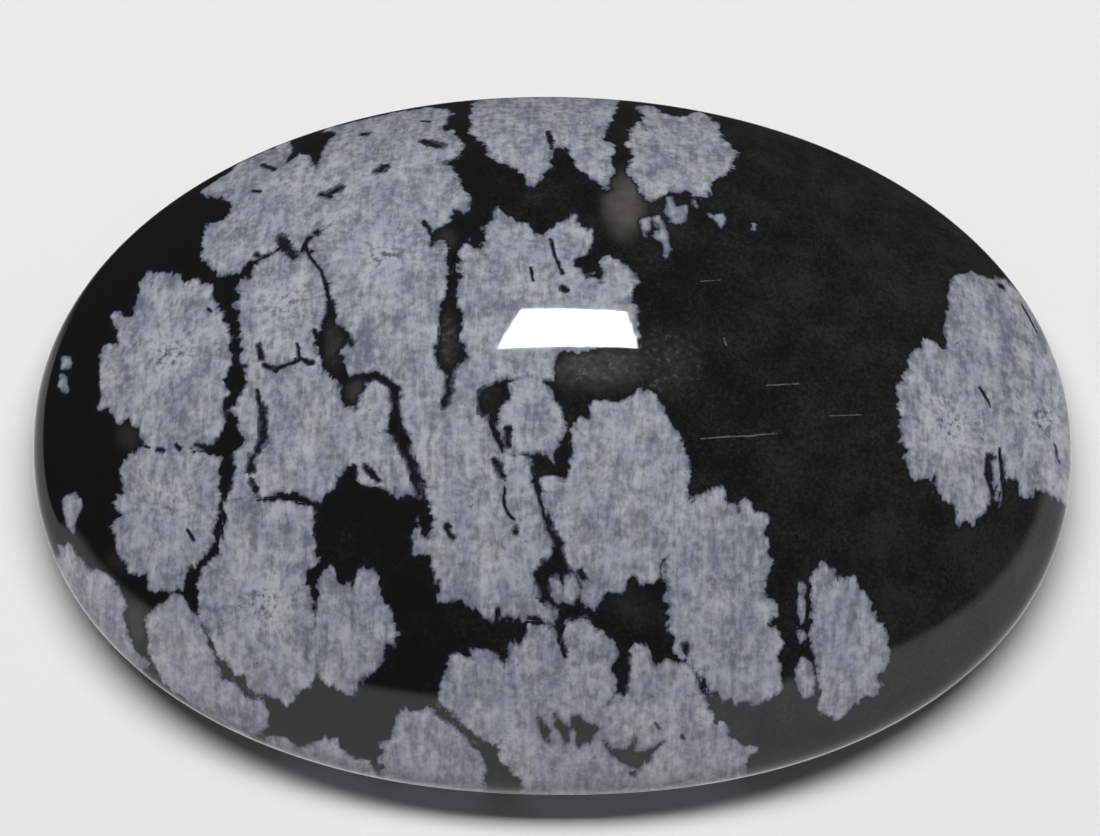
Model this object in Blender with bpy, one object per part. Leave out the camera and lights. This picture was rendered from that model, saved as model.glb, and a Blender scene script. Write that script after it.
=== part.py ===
# Snowflake obsidian cabochon, 30 x 22 x 6.5 mm: one solid stone with an oval outline, a flat
# back, a softly rounded edge and a domed top. Metres, +Z up. The origin is at the centre of the
# flat back, which lies on z = 0, and the long axis of the oval runs along X.

from math import asin, atan, atan2, copysign, cos, pi, radians, sin, sqrt

import bmesh
import bpy

# Driving dimensions
LENGTH = 0.030
WIDTH = 0.022
HEIGHT = 0.0065
EDGE_RADIUS = 0.0010  # round of the edge, measured across the width
EDGE_TUCK = radians(55)  # how far round the edge curls in below its widest line
DOME_ARC = 1.35  # radius of the dome's arc, as a share of the dome's half width
FRONT_FULLNESS = 2.18  # exponent of the oval on the -Y side; 2 is a plain ellipse
BACK_FULLNESS = 2.05  # exponent of the oval on the +Y side

# How finely the surfaces are faceted
STEPS_ROUND = 72
EDGE_STEPS = 7
DOME_STEPS = 9
CREASE_ANGLE = radians(35)  # only the line where the edge meets the flat back is sharper

OBSIDIAN_COLOUR = (0.012, 0.012, 0.013, 1.0)
OBSIDIAN_ROUGHNESS = 0.05
OBSIDIAN_IOR = 1.5


def clear_scene():
    """Remove every object of the scene."""
    for item in list(bpy.data.objects):
        bpy.data.objects.remove(item, do_unlink=True)


def obsidian_material():
    """Polished black volcanic glass."""
    material = bpy.data.materials.new("snowflake obsidian")
    material.use_nodes = True
    shader = material.node_tree.nodes["Principled BSDF"]
    shader.inputs["Base Color"].default_value = OBSIDIAN_COLOUR
    shader.inputs["Roughness"].default_value = OBSIDIAN_ROUGHNESS
    shader.inputs["Metallic"].default_value = 0.0
    shader.inputs["IOR"].default_value = OBSIDIAN_IOR
    return material


def outline_point(turn):
    """A point of the oval at one turn angle: a superellipse, a little fuller at the front."""
    along, across = cos(turn), sin(turn)
    fullness = FRONT_FULLNESS if across < 0 else BACK_FULLNESS
    x = copysign(abs(along) ** (2 / fullness), along) * LENGTH / 2
    y = copysign(abs(across) ** (2 / fullness), across) * WIDTH / 2
    return x, y, 0.0


def dome_lift(share):
    """Height of the dome as a share of its rise, at a share of the way out from its centre."""
    drop = sqrt(DOME_ARC**2 - 1)
    return (sqrt(DOME_ARC**2 - share**2) - drop) / (DOME_ARC - drop)


def edge_ring(turn):
    """Reach and level of the rounded edge where its normal is turned up by an angle."""
    reach = WIDTH / 2 - EDGE_RADIUS * (1 - cos(turn))
    level = EDGE_RADIUS * (sin(EDGE_TUCK) + sin(turn))
    return reach, level


def foot_turn():
    """The angle at which the rounded edge hands over to the dome with no crease.

    The dome's slope there depends on where it starts, so the sum is repeated until it settles.
    """
    drop = sqrt(DOME_ARC**2 - 1)
    turn = pi / 4
    for _ in range(12):
        reach, level = edge_ring(turn)
        slope = (HEIGHT - level) / (reach * drop * (DOME_ARC - drop))
        turn = pi / 2 - atan(slope)
    return turn


def profile():
    """The stone's side from its back to the last ring below the crown, as pairs of reach and level.

    The reach is measured across the width. An arc makes the edge, from the flat back out and
    round to the foot of the dome, and the dome follows in steps of equal turn of its own arc.
    """
    top_turn = foot_turn()
    foot_reach, foot_level = edge_ring(top_turn)
    rings = []
    for step in range(EDGE_STEPS + 1):
        rings.append(edge_ring(-EDGE_TUCK + (top_turn + EDGE_TUCK) * step / EDGE_STEPS))
    foot_lean = asin(1 / DOME_ARC)
    for step in range(1, DOME_STEPS):
        share = DOME_ARC * sin(foot_lean * (1 - step / DOME_STEPS))
        rings.append((foot_reach * share, foot_level + (HEIGHT - foot_level) * dome_lift(share)))
    return rings


def move_ring(shape, verts, draw_in, lift):
    """Scale a ring about the stone's axis and raise it."""
    bmesh.ops.scale(shape, vec=(draw_in, draw_in, 1.0), verts=verts)
    bmesh.ops.translate(shape, vec=(0.0, 0.0, lift), verts=verts)


def extrude_ring(shape, edges):
    """Extrude a ring of edges in place, and return the new ring's vertices and edges."""
    made = bmesh.ops.extrude_edge_only(shape, edges=edges)["geom"]
    verts = [item for item in made if isinstance(item, bmesh.types.BMVert)]
    edges = [item for item in made if isinstance(item, bmesh.types.BMEdge)]
    return verts, edges


def make_cabochon():
    """The whole stone: the oval back extruded upwards ring by ring, and drawn to a crown."""
    rings = profile()
    shape = bmesh.new()
    bmesh.ops.create_circle(shape, cap_ends=True, segments=STEPS_ROUND, radius=1.0)
    for vertex in shape.verts:
        vertex.co = outline_point(atan2(vertex.co.y, vertex.co.x))
    reach, level = rings[0]
    move_ring(shape, shape.verts[:], reach / (WIDTH / 2), level)

    edges = shape.edges[:]
    for next_reach, next_level in rings[1:]:
        verts, edges = extrude_ring(shape, edges)
        move_ring(shape, verts, next_reach / reach, next_level - level)
        reach, level = next_reach, next_level
    verts, edges = extrude_ring(shape, edges)
    bmesh.ops.pointmerge(shape, verts=verts, merge_co=(0.0, 0.0, HEIGHT))
    bmesh.ops.recalc_face_normals(shape, faces=shape.faces[:])

    mesh = bpy.data.meshes.new("cabochon")
    shape.to_mesh(mesh)
    shape.free()
    mesh.shade_smooth()
    mesh.set_sharp_from_angle(angle=CREASE_ANGLE)
    mesh.materials.append(obsidian_material())
    stone = bpy.data.objects.new("cabochon", mesh)
    bpy.context.scene.collection.objects.link(stone)


clear_scene()
make_cabochon()
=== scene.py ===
from math import atan, cos, pi, radians, sin, sqrt

import bpy
import numpy as np
from mathutils import Matrix, Vector


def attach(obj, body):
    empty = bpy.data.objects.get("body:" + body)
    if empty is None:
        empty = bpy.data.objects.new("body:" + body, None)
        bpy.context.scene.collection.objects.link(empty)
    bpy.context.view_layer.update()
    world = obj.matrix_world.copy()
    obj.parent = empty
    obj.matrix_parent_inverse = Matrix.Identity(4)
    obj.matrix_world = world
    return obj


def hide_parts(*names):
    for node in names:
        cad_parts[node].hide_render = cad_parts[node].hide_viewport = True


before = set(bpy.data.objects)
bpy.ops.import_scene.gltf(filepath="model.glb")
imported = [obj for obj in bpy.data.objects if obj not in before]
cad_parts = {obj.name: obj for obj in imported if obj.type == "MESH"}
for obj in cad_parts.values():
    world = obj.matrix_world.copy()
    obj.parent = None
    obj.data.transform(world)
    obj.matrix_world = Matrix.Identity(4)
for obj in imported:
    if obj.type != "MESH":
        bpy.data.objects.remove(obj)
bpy.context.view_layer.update()  # the CAD stone, the fixed frame that everything is built around

# The stone's own measures, in millimetres and degrees, and how finely its surface is laid out
stone = {
    "halfLength": 15.0,
    "halfWidth": 11.0,
    "height": 6.5,
    "edgeRadius": 1.0,  # round of the edge
    "edgeTuck": 55.0,  # how far the edge curls in below its widest line
    "domeArc": 1.35,  # radius of the dome's arc over its half width
    "frontFullness": 2.18,  # exponent of the oval towards the camera
    "backFullness": 2.05,
    "topCells": 260,  # cells along each side of the grid that covers the dome
    "edgeSteps": 10,  # rings of cells round the edge
    "backGrid": 0.993,  # share of the flat back under its own grid; triangles join that to the edge
    "arcSteps": 2001,  # points at which the dome's length of arc is summed
    "settleSteps": 12,  # repeats after which the turn where edge meets dome no longer changes
    "crease": 35.0,  # only the line where the edge meets the flat back is sharper
}

# The camera stands where the photograph's stood. Pixels are those of the 1100 x 836 photograph.
camera = {
    "photoSize": (1100, 836),
    "elevation": 65.1,  # degrees above the table
    "distance": 150.0,  # millimetres
    "aimLevel": 3.27,  # the level on the stone's axis that the view turns about
    "aimRight": -0.08,
    "aimUp": -0.51,
    "lens": 172.2,
    "sensor": 36.0,
    "roll": 0.64,  # degrees
    "clip": (0.005, 20.0),  # metres
}

mm = 0.001
tiny = 1e-9  # keeps a division from being by zero


def cameraAxes():
    # right, up and back of the camera: the level view tipped down by the elevation, then rolled
    tip, roll = radians(camera["elevation"]), radians(camera["roll"])
    back = np.array([0.0, -cos(tip), sin(tip)])
    right = np.array([1.0, 0.0, 0.0])
    up = np.array([0.0, sin(tip), cos(tip)])
    aim = np.array([0.0, 0.0, camera["aimLevel"]]) + camera["aimRight"] * right + camera["aimUp"] * up
    rolledRight = cos(roll) * right + sin(roll) * up
    rolledUp = cos(roll) * up - sin(roll) * right
    return rolledRight, rolledUp, back, aim + camera["distance"] * back


def photoPixels(points):
    # where points in millimetres fall in the photograph: focal length times offset over depth
    right, up, back, eye = cameraAxes()
    wide, high = camera["photoSize"]
    focal = camera["lens"] / camera["sensor"] * wide
    offset = points - eye
    depth = -(offset @ back)
    return np.stack([wide / 2 + focal * (offset @ right) / depth,
                     high / 2 - focal * (offset @ up) / depth], axis=1)


def addCamera():
    right, up, back, eye = cameraAxes()
    data = bpy.data.cameras.new("photo camera")
    data.lens, data.sensor_width = camera["lens"], camera["sensor"]
    data.clip_start, data.clip_end = camera["clip"]
    view = bpy.data.objects.new("photo camera", data)
    turn = Matrix((right, up, back)).transposed().to_4x4()
    view.matrix_world = Matrix.Translation(Vector(eye * mm)) @ turn
    bpy.context.scene.collection.objects.link(view)
    bpy.context.scene.camera = view


def oval(turn, fullness):
    # superellipse: each half axis times the cosine or sine raised to 2 / fullness, sign kept
    along, across = np.cos(turn), np.sin(turn)
    x = np.sign(along) * np.abs(along) ** (2 / fullness) * stone["halfLength"]
    y = np.sign(across) * np.abs(across) ** (2 / fullness) * stone["halfWidth"]
    return np.stack([x, y], axis=-1)


def rimFullness(turn):
    return np.where(np.sin(turn) < 0, stone["frontFullness"], stone["backFullness"])


def edgeAt(turnUp):
    # reach and level of the rounded edge where its normal is turned up by an angle: a circle's arc
    reach = stone["halfWidth"] - stone["edgeRadius"] * (1 - np.cos(turnUp))
    level = stone["edgeRadius"] * (sin(radians(stone["edgeTuck"])) + np.sin(turnUp))
    return reach, level


def domeLift(share):
    # circular arc of radius domeArc: 1 at the crown, 0 at the dome's foot
    drop = sqrt(stone["domeArc"] ** 2 - 1)
    return (np.sqrt(stone["domeArc"] ** 2 - share**2) - drop) / (stone["domeArc"] - drop)


def footTurn():
    # the turn at which the edge meets the dome with no crease, repeated until it settles
    drop = sqrt(stone["domeArc"] ** 2 - 1)
    turnUp = pi / 4
    for _ in range(stone["settleSteps"]):
        reach, level = edgeAt(turnUp)
        turnUp = pi / 2 - atan((stone["height"] - level) / (reach * drop * (stone["domeArc"] - drop)))
    return turnUp


def discGrid(cells):
    # square grid pressed into a disc: x = u sqrt(1 - v^2 / 2), y = v sqrt(1 - u^2 / 2)
    u, v = np.meshgrid(np.linspace(-1, 1, cells + 1), np.linspace(-1, 1, cells + 1), indexing="ij")
    x, y = u * np.sqrt(1 - v**2 / 2), v * np.sqrt(1 - u**2 / 2)
    return np.hypot(x, y), np.arctan2(y, x)


def gridFaces(cells, start, flip):
    index = start + np.arange((cells + 1) ** 2).reshape(cells + 1, cells + 1)
    a, b, c, d = index[:-1, :-1], index[1:, :-1], index[1:, 1:], index[:-1, 1:]
    faces = np.stack([a, b, c, d] if not flip else [a, d, c, b], axis=-1)
    return faces.reshape(-1, 4)


def gridRim(cells, start):
    # the grid's outer vertices in order round the disc, anticlockwise seen from above
    index = start + np.arange((cells + 1) ** 2).reshape(cells + 1, cells + 1)
    return np.concatenate([index[:-1, 0], index[-1, :-1], index[:0:-1, -1], index[0, :0:-1]])


def ringFaces(outer, inner):
    # quads between two rings of equal count; outward when the outer ring lies below the inner
    return np.stack([outer, np.roll(outer, -1), np.roll(inner, -1), inner], axis=-1)


def halvingFaces(fine, coarse):
    # triangles from a ring to one of half its count, three for each coarse step
    left, middle, right = fine[0::2], fine[1::2], np.roll(fine[0::2], -1)
    near, far = coarse, np.roll(coarse, -1)
    return np.concatenate([np.stack([left, near, middle], axis=-1), np.stack([near, far, middle], axis=-1),
                           np.stack([middle, far, right], axis=-1)])


def stoneSurface():
    # dome: oval x share, lifted by the arc. Edge: rings round a circle's arc. Back: a flat disc.
    # Beside each vertex goes its place on the unrolled skin, the oval times the length of surface
    # from the crown over the half width.
    cells, wide = stone["topCells"], stone["halfWidth"]
    footUp = footTurn()
    footReach, footLevel = edgeAt(footUp)
    shares = np.linspace(0, 1, stone["arcSteps"])
    levels = footLevel + (stone["height"] - footLevel) * domeLift(shares)
    runs = np.concatenate([[0], np.cumsum(np.hypot(np.diff(shares * footReach), np.diff(levels)))])

    share, turn = discGrid(cells)
    share, turn = share.ravel(), turn.ravel()
    share = np.minimum(share, 1)
    fullness = 2 + (rimFullness(turn) - 2) * share**2
    shape = oval(turn, fullness) / wide
    points = [np.column_stack([shape * (share * footReach)[:, None],
                               footLevel + (stone["height"] - footLevel) * domeLift(share)])]
    skins = [shape * np.interp(share, shares, runs)[:, None]]
    faces = [gridFaces(cells, 0, False)]
    count = len(share)

    ring = gridRim(cells, 0)
    rimShape = oval(turn[ring], rimFullness(turn[ring])) / wide
    tuck = -radians(stone["edgeTuck"])
    steps = stone["edgeSteps"]
    for step in range(1, steps + 1):
        turnUp = footUp + (tuck - footUp) * step / steps
        reach, level = edgeAt(turnUp)
        points.append(np.column_stack([rimShape * reach, np.full(len(ring), level)]))
        skins.append(rimShape * (runs[-1] + stone["edgeRadius"] * (footUp - turnUp)))
        fresh = count + np.arange(len(ring))
        faces.append(ringFaces(fresh, ring))
        ring, count = fresh, count + len(ring)
    edgeRun = runs[-1] + stone["edgeRadius"] * (footUp - tuck)

    backReach = edgeAt(tuck)[0]
    backCells = cells // 2
    share, turn = discGrid(backCells)
    share, turn = share.ravel() * stone["backGrid"], turn.ravel()
    shape = oval(turn, rimFullness(turn)) / wide
    points.append(np.column_stack([shape * (share * backReach)[:, None], np.zeros(len(share))]))
    skins.append(shape * (edgeRun + backReach * (1 - share))[:, None])
    faces.append(gridFaces(backCells, count, True))
    inner = gridRim(backCells, count)
    triangles = halvingFaces(ring, inner)
    return np.concatenate(points), np.concatenate(skins), np.concatenate(faces), triangles


def addMesh(name, points, quads, triangles=None):
    # a mesh from whole arrays of corners, in millimetres
    mesh = bpy.data.meshes.new(name)
    triangles = np.zeros((0, 3), int) if triangles is None else triangles
    corners = np.concatenate([quads.ravel(), triangles.ravel()]).astype(np.int32)
    sizes = np.concatenate([np.full(len(quads), 4), np.full(len(triangles), 3)])
    mesh.vertices.add(len(points))
    mesh.vertices.foreach_set("co", (points * mm).astype(np.float32).ravel())
    mesh.loops.add(len(corners))
    mesh.loops.foreach_set("vertex_index", corners)
    mesh.polygons.add(len(sizes))
    mesh.polygons.foreach_set("loop_start", (np.cumsum(sizes) - sizes).astype(np.int32))
    mesh.update(calc_edges=True)
    mesh.validate()
    mesh.shade_smooth()
    piece = bpy.data.objects.new(name, mesh)
    bpy.context.scene.collection.objects.link(piece)
    return piece


def readVectors(mesh, source, field):
    values = np.zeros(len(mesh.vertices) * 3, np.float32)
    getattr(mesh, source).foreach_get(field, values)
    return values.reshape(-1, 3).astype(float)


# Each snowflake: the heart that its crystals grew from, then its outline, clockwise, in pixels of
# the photograph. Where a flake runs over the rim, its outline goes on beyond the stone's edge.
flakes = {
    "leftUpper": [(170, 354), [
        (148, 266), (155, 277), (166, 272), (180, 273), (187, 280), (207, 282), (216, 300), (218, 312), (230, 320),
        (230, 345), (233, 360), (230, 375), (222, 380), (230, 393), (224, 412), (222, 430), (212, 447), (190, 452),
        (178, 456), (165, 457), (148, 454), (140, 437), (133, 420), (127, 417), (118, 427), (110, 410), (97, 409),
        (100, 395), (99, 362), (102, 345), (117, 343), (117, 330), (110, 324), (115, 310), (126, 321), (134, 312),
        (134, 300), (140, 286)]],
    "leftLower": [(168, 504), [
        (127, 457), (138, 450), (150, 443), (158, 444), (185, 445), (205, 454), (219, 461), (220, 490), (222, 503),
        (221, 515), (215, 532), (212, 547), (203, 560), (188, 569), (183, 588), (168, 592), (150, 590), (145, 574),
        (128, 575), (118, 552), (111, 525), (120, 516), (112, 502), (122, 490), (121, 465)]],
    "square": [(287, 303), [
        (243, 278), (252, 275), (258, 262), (270, 256), (283, 250), (292, 258), (303, 250), (312, 262), (321, 273),
        (326, 290), (328, 305), (322, 320), (318, 335), (317, 348), (316, 362), (300, 366), (290, 368), (275, 368),
        (262, 366), (243, 364), (240, 340), (237, 320), (236, 288)]],
    "middleLeft": [(310, 430), [
        (243, 356), (262, 358), (275, 360), (300, 358), (318, 356), (325, 374), (340, 380), (338, 395), (345, 405),
        (357, 406), (362, 398), (368, 384), (375, 379), (385, 384), (391, 393), (392, 410), (388, 428), (398, 445),
        (407, 462), (417, 480), (421, 497), (412, 497), (400, 496), (390, 491), (380, 485), (370, 488), (358, 480),
        (355, 465), (348, 465), (340, 477), (330, 490), (320, 503), (305, 498), (280, 493), (262, 500), (226, 502),
        (231, 490), (234, 475), (236, 455), (243, 440), (236, 420), (233, 408), (240, 395), (246, 378)]],
    "lowerHeart": [(265, 603), [
        (226, 500), (240, 497), (270, 498), (298, 503), (317, 510), (316, 530), (316, 560), (304, 572), (309, 592),
        (315, 603), (318, 630), (318, 675), (300, 692), (292, 702), (284, 705), (269, 695), (255, 693), (242, 677),
        (227, 666), (217, 653), (207, 632), (200, 620), (197, 605), (197, 585), (203, 567), (213, 561), (220, 552),
        (223, 530), (222, 505)]],
    "lowerSmall": [(352, 635), [
        (316, 605), (320, 592), (319, 578), (326, 570), (334, 570), (340, 582), (349, 589), (357, 572), (366, 566),
        (376, 570), (381, 577), (380, 590), (384, 602), (393, 615), (398, 630), (394, 645), (384, 645), (384, 658),
        (377, 672), (362, 680), (355, 691), (346, 697), (332, 687), (316, 680), (310, 640)]],
    "lowerLeft": [(178, 625), [
        (168, 598), (175, 592), (190, 605), (200, 622), (208, 640), (216, 663), (222, 676), (230, 677), (240, 686),
        (252, 699), (264, 702), (271, 710), (269, 727), (260, 736), (250, 738), (225, 725), (200, 710), (180, 697),
        (160, 680), (150, 660), (147, 645), (146, 620), (158, 604)]],
    "lowerLeftRim": [(95, 595), [
        (60, 548), (68, 542), (76, 553), (84, 562), (90, 570), (96, 566), (106, 573), (115, 580), (122, 590),
        (126, 600), (123, 615), (127, 632), (136, 650), (148, 664), (140, 670), (105, 660), (70, 625), (40, 580)]],
    "leftRimSpot": [(72, 508), [
        (62, 500), (68, 494), (75, 493), (82, 500), (80, 510), (77, 520), (76, 530), (72, 534), (68, 527), (64, 515)]],
    "leftRimDot": [(66, 362), [(62, 357), (70, 357), (71, 367), (62, 368)]],
    "leftRimBit": [(63, 385), [(61, 376), (66, 378), (67, 390), (61, 394), (58, 386)]],
    "upperLeftRim": [(238, 240), [
        (203, 240), (206, 226), (221, 219), (231, 213), (236, 205), (222, 200), (205, 197), (200, 192), (216, 180),
        (240, 162), (268, 147), (290, 138), (292, 150), (287, 161), (298, 152), (308, 155), (313, 166), (316, 190),
        (300, 225), (283, 236), (275, 252), (262, 257), (247, 264), (240, 271), (224, 276), (214, 272), (202, 257)]],
    "upperLeft": [(300, 190), [
        (262, 165), (285, 148), (287, 160), (298, 152), (308, 155), (313, 166), (318, 155), (325, 145), (345, 142),
        (350, 180), (350, 215), (330, 225), (318, 232), (306, 243), (297, 256), (287, 246), (281, 236), (262, 225),
        (250, 200)]],
    "upperMiddle": [(405, 170), [
        (318, 160), (323, 150), (329, 141), (320, 134), (330, 128), (353, 122), (372, 117), (405, 111), (428, 107),
        (445, 110), (452, 113), (446, 122), (443, 133), (452, 131), (461, 141), (463, 156), (444, 163), (454, 169),
        (458, 180), (463, 190), (471, 197), (471, 211), (463, 215), (455, 210), (447, 220), (438, 230), (420, 240),
        (360, 225), (330, 210)]],
    "highHeart": [(385, 255), [
        (306, 245), (325, 228), (345, 205), (400, 200), (430, 225), (431, 244), (440, 240), (449, 250), (448, 280),
        (447, 300), (440, 320), (438, 345), (439, 370), (430, 390), (401, 400), (396, 386), (385, 378), (372, 374),
        (358, 378), (347, 372), (339, 351), (345, 343), (350, 333), (340, 325), (333, 300), (327, 284), (319, 268),
        (312, 257)]],
    "longColumn": [(480, 500), [
        (401, 390), (410, 372), (440, 365), (455, 385), (470, 378), (480, 400), (495, 440), (512, 455), (528, 452),
        (531, 465), (536, 488), (540, 497), (547, 520), (555, 530), (557, 542), (546, 566), (536, 575), (542, 600),
        (557, 610), (556, 626), (530, 618), (507, 622), (502, 616), (494, 601), (489, 622), (481, 616), (472, 610),
        (458, 600), (448, 604), (441, 602), (437, 580), (433, 563), (427, 554), (412, 555), (413, 530), (417, 516),
        (425, 540), (430, 535), (432, 518), (425, 490), (418, 475), (412, 455), (410, 435), (400, 422)]],
    "smallMiddle": [(535, 410), [
        (508, 384), (512, 395), (500, 404), (496, 425), (503, 452), (515, 457), (528, 456), (540, 451), (548, 456),
        (556, 462), (558, 450), (561, 436), (567, 424), (562, 412), (556, 400), (550, 390), (544, 375), (525, 372)]],
    "centre": [(615, 490), [
        (573, 425), (580, 418), (591, 419), (588, 407), (597, 402), (618, 400), (637, 390), (647, 392), (662, 402),
        (664, 415), (673, 425), (680, 435), (685, 450), (690, 470), (692, 483), (690, 500), (684, 530), (676, 555),
        (659, 564), (655, 577), (643, 588), (632, 581), (618, 595), (607, 594), (600, 607), (583, 612), (580, 600),
        (582, 585), (575, 572), (567, 567), (564, 557), (560, 541), (550, 520), (543, 510), (540, 480), (550, 473),
        (563, 482), (569, 478), (570, 462), (572, 445)]],
    "centreDrop": [(556, 590), [(551, 578), (559, 577), (563, 590), (558, 603), (550, 596)]],
    "centreBit": [(571, 589), [(565, 572), (575, 573), (579, 590), (574, 607), (564, 600)]],
    "rightColumn": [(722, 590), [
        (680, 500), (697, 500), (704, 494), (717, 485), (725, 490), (730, 500), (739, 512), (742, 501), (750, 502),
        (759, 511), (766, 518), (768, 532), (764, 543), (771, 557), (770, 570), (766, 582), (764, 595), (780, 604),
        (780, 615), (768, 624), (780, 630), (784, 642), (777, 654), (784, 662), (784, 680), (779, 692), (770, 700),
        (755, 708), (748, 700), (737, 710), (731, 700), (720, 700), (712, 692), (704, 685), (690, 668), (676, 652),
        (672, 637), (666, 612), (666, 585), (661, 566), (672, 540)]],
    "bottomLeft": [(530, 680), [
        (437, 697), (442, 680), (450, 657), (460, 652), (467, 658), (472, 647), (492, 649), (503, 665), (509, 655),
        (510, 642), (515, 636), (521, 647), (526, 632), (533, 622), (548, 624), (557, 632), (564, 652), (566, 640),
        (562, 622), (582, 616), (590, 620), (597, 632), (605, 637), (616, 642), (618, 655), (614, 668), (617, 680),
        (616, 692), (612, 704), (598, 720), (582, 732), (553, 740), (530, 740), (500, 745), (485, 738), (478, 745),
        (467, 735), (457, 720), (440, 707)]],
    "bottomRim": [(430, 750), [
        (400, 709), (432, 707), (452, 722), (460, 733), (470, 743), (481, 752), (487, 765), (486, 800), (480, 830),
        (440, 830), (390, 820), (381, 775), (380, 745), (394, 738), (396, 722)]],
    "bottomMiddle": [(560, 765), [
        (497, 746), (495, 758), (510, 769), (522, 778), (520, 830), (590, 835), (655, 830), (652, 785), (634, 773),
        (640, 764), (630, 757), (617, 752), (604, 738), (596, 730), (578, 718), (565, 722), (549, 722), (540, 722),
        (530, 718), (505, 735)]],
    "bottomRight": [(670, 700), [
        (629, 650), (637, 642), (645, 645), (649, 655), (656, 665), (665, 660), (690, 665), (701, 690), (707, 702),
        (714, 716), (712, 727), (722, 722), (735, 735), (741, 747), (753, 750), (748, 760), (745, 790), (735, 825),
        (700, 830), (670, 835), (636, 832), (634, 775), (643, 764), (655, 752), (640, 757), (625, 757), (612, 750),
        (596, 745), (590, 722), (598, 704), (614, 698), (625, 690), (627, 665)]],
    "rightLower": [(848, 645), [
        (820, 560), (828, 562), (835, 570), (839, 579), (846, 576), (852, 578), (860, 590), (868, 596), (873, 603),
        (875, 615), (882, 623), (887, 637), (890, 652), (885, 672), (876, 675), (881, 685), (877, 697), (872, 702),
        (865, 697), (857, 702), (850, 708), (844, 717), (835, 719), (826, 715), (819, 716), (816, 705), (820, 692),
        (816, 662), (810, 635), (809, 620), (812, 600), (810, 587), (812, 575), (816, 565)]],
    "sliverUpper": [(803, 600), [
        (800, 577), (806, 587), (807, 602), (805, 620), (802, 625), (800, 615), (797, 600)]],
    "sliverMiddle": [(802, 637), [(795, 628), (805, 630), (806, 640), (800, 645)]],
    "sliverLower": [(806, 682), [
        (797, 660), (805, 655), (811, 665), (815, 682), (815, 697), (802, 699), (799, 687), (794, 675)]],
    "rightLeft": [(951, 425), [
        (924, 339), (935, 340), (942, 347), (955, 350), (975, 370), (985, 400), (990, 460), (987, 475), (991, 487),
        (991, 502), (982, 511), (975, 520), (971, 530), (965, 522), (960, 527), (957, 515), (952, 503), (946, 496),
        (940, 502), (934, 492), (934, 473), (930, 480), (910, 476), (905, 457), (906, 447), (900, 441), (899, 427),
        (900, 405), (897, 387), (905, 379), (906, 362), (917, 347)]],
    "rightRim": [(1042, 420), [
        (946, 345), (947, 320), (947, 307), (950, 290), (951, 280), (957, 277), (962, 272), (970, 270), (983, 277),
        (1000, 277), (1025, 290), (1060, 325), (1085, 370), (1100, 430), (1095, 480), (1072, 505), (1057, 503),
        (1052, 500), (1046, 492), (1040, 489), (1034, 496), (1027, 500), (1020, 495), (1017, 485), (1014, 477),
        (1005, 479), (1001, 460), (985, 455), (970, 405), (955, 366)]],
    "rightLobe": [(996, 480), [(990, 458), (1001, 458), (1004, 490), (999, 507), (993, 500)]],
    "top": [(545, 125), [
        (470, 118), (472, 107), (480, 85), (500, 70), (560, 62), (620, 70), (622, 102), (615, 112), (610, 130),
        (605, 140), (614, 140), (616, 157), (612, 175), (606, 195), (601, 187), (592, 180), (577, 168), (572, 157),
        (565, 148), (552, 148), (550, 160), (549, 172), (540, 180), (535, 190), (530, 187), (515, 170), (502, 165),
        (485, 155), (487, 146), (476, 139), (470, 132)]],
    "topRight": [(680, 152), [
        (640, 106), (655, 106), (663, 113), (682, 117), (700, 111), (710, 117), (721, 128), (721, 138), (738, 152),
        (732, 168), (720, 178), (712, 182), (710, 195), (702, 200), (694, 197), (690, 188), (675, 192), (668, 195),
        (653, 200), (645, 199), (640, 185), (628, 176), (632, 155), (627, 145), (630, 130), (640, 122), (645, 130),
        (640, 115)]],
    "topRightDrop": [(677, 212), [
        (667, 196), (674, 196), (678, 205), (687, 205), (688, 222), (680, 225), (670, 222), (665, 208)]],
    "topRightBit": [(645, 225), [(642, 218), (650, 219), (650, 228), (645, 236), (641, 228)]],
    "topRightTail": [(662, 235), [
        (654, 213), (659, 217), (664, 227), (669, 235), (670, 245), (669, 258), (665, 260), (664, 245), (652, 236),
        (656, 228)]],
    "topRightSpeck": [(695, 202), [(693, 199), (698, 200), (697, 207), (692, 205)]],
    "topRightShard": [(718, 219), [(708, 213), (724, 213), (724, 230), (720, 230)]],
    "topRightDot": [(753, 227), [(751, 222), (755, 224), (754, 231), (751, 229)]],
    "underLight": [(540, 290), [
        (461, 246), (468, 239), (480, 250), (483, 235), (487, 222), (494, 211), (500, 212), (510, 220), (522, 224),
        (535, 230), (540, 237), (550, 230), (566, 222), (572, 214), (577, 217), (580, 227), (587, 235), (592, 230),
        (596, 242), (588, 252), (571, 259), (578, 265), (585, 277), (592, 273), (601, 280), (602, 259), (610, 257),
        (626, 265), (632, 272), (640, 280), (632, 290), (630, 298), (640, 313), (636, 345), (600, 350), (560, 352),
        (557, 365), (552, 380), (505, 380), (487, 386), (478, 398), (472, 412), (455, 405), (452, 375), (464, 358),
        (460, 333), (460, 310), (456, 298), (461, 270)]],
    "bottomFarLeft": [(325, 765), [
        (267, 737), (280, 735), (290, 740), (296, 747), (310, 744), (330, 736), (339, 742), (346, 751), (353, 757),
        (362, 755), (370, 762), (385, 778), (380, 800), (330, 795), (290, 775), (262, 750)]],
}

# How plainly a flake's heart shows as pale granules round a dark core
heartShows = {
    "leftUpper": 1.0, "lowerHeart": 1.0, "rightLeft": 1.0, "rightRim": 1.0, "highHeart": 0.9, "square": 0.7,
    "leftLower": 0.4, "upperLeft": 0.4,
}

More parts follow.
